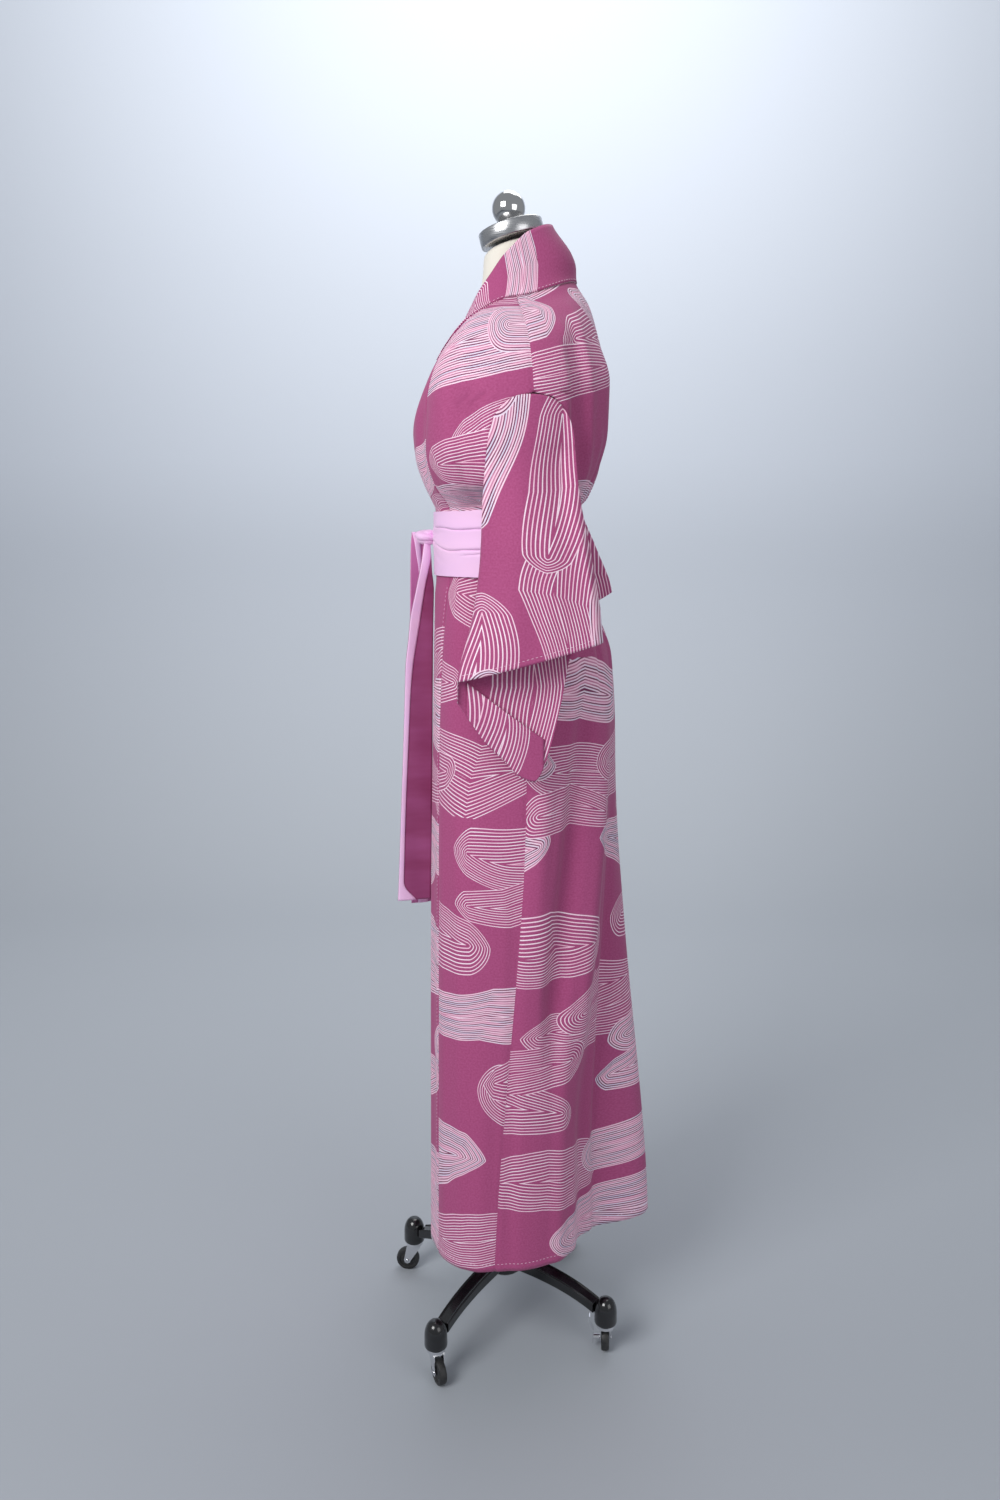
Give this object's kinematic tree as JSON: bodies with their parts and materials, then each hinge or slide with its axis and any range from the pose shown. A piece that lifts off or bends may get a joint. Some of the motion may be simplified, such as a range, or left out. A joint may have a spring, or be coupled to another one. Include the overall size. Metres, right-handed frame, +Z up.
{
  "type": "kimono robe on a dress form",
  "caption": "Kimono robe with hanging sleeves, crossed collar and tied sash, worn on a limbless dress form on a rolling caster base.",
  "frame": {"origin": "middle of the bounding box's underside, on the floor", "axes": "+Z up, -Y towards the robe's front, +X towards the wearer's left"},
  "size_m": [0.4857, 0.4291, 1.7584],
  "materials": {
    "robe_cloth": "soft matt woven",
    "sash_cloth": "smooth lined cloth",
    "form_cover": "smooth ivory jersey",
    "brushed_steel": "brushed",
    "chrome": "polished",
    "black_enamel": "gloss",
    "black_tyre": "satin"
  },
  "bodies": {
    "robe_and_form": {"body_panel_left": "robe_cloth", "body_panel_right": "robe_cloth", "overlap_panel_left": "robe_cloth", "overlap_panel_right": "robe_cloth", "collar": "robe_cloth", "half_collar": "robe_cloth", "sleeve_left": "robe_cloth", "sleeve_right": "robe_cloth", "sleeve_bag_left": "robe_cloth", "sleeve_bag_right": "robe_cloth", "sash_wrap": "sash_cloth", "sash_knot": "sash_cloth", "sash_end_left": "sash_cloth", "sash_end_right": "sash_cloth", "form_torso": "form_cover", "neck_cap": "brushed_steel", "finial_ball": "brushed_steel", "pole": "brushed_steel", "hub": "black_enamel", "leg_1": "black_enamel", "caster_cap_1": "black_enamel", "leg_2": "black_enamel", "caster_cap_2": "black_enamel", "leg_3": "black_enamel", "caster_cap_3": "black_enamel", "leg_4": "black_enamel", "caster_cap_4": "black_enamel"},
    "caster_1": {"caster_fork_1": "chrome"},
    "roller_1": {"wheel_1": "black_tyre"},
    "caster_2": {"caster_fork_2": "chrome"},
    "roller_2": {"wheel_2": "black_tyre"},
    "brake": {"brake_lever": "chrome"},
    "caster_3": {"caster_fork_3": "chrome"},
    "roller_3": {"wheel_3": "black_tyre"},
    "caster_4": {"caster_fork_4": "chrome"},
    "roller_4": {"wheel_4": "black_tyre"}
  },
  "joints": [
    {"name": "caster_1_swivel", "type": "hinge", "parent": "robe_and_form", "child": "caster_1", "pos_m": [0.15955, -0.13031, 0.056], "axis": [0, 0, 1], "continuous": true},
    {"name": "wheel_1_roll", "type": "hinge", "parent": "caster_1", "child": "roller_1", "pos_m": [0.17042, -0.12524, 0.02], "axis": [-0.4226, 0.9063, 0], "continuous": true},
    {"name": "caster_2_swivel", "type": "hinge", "parent": "robe_and_form", "child": "caster_2", "pos_m": [0.10681, 0.13605, 0.056], "axis": [0, 0, 1], "continuous": true},
    {"name": "wheel_2_roll", "type": "hinge", "parent": "caster_2", "child": "roller_2", "pos_m": [0.09485, 0.13709, 0.02], "axis": [-0.0872, -0.9962, 0], "continuous": true},
    {"name": "brake_lever_tilt", "type": "hinge", "parent": "caster_2", "child": "brake", "pos_m": [0.09485, 0.13709, 0.02], "axis": [-0.0872, -0.9962, 0], "range_deg": [-15, 15]},
    {"name": "caster_3_swivel", "type": "hinge", "parent": "robe_and_form", "child": "caster_3", "pos_m": [-0.15955, 0.08331, 0.056], "axis": [0, 0, 1], "continuous": true},
    {"name": "wheel_3_roll", "type": "hinge", "parent": "caster_3", "child": "roller_3", "pos_m": [-0.16726, 0.0925, 0.02], "axis": [-0.766, -0.6428, 0], "continuous": true},
    {"name": "caster_4_swivel", "type": "hinge", "parent": "robe_and_form", "child": "caster_4", "pos_m": [-0.10681, -0.18305, 0.056], "axis": [0, 0, 1], "continuous": true},
    {"name": "wheel_4_roll", "type": "hinge", "parent": "caster_4", "child": "roller_4", "pos_m": [-0.10786, -0.195, 0.02], "axis": [0.9962, -0.0872, 0], "continuous": true}
  ]
}
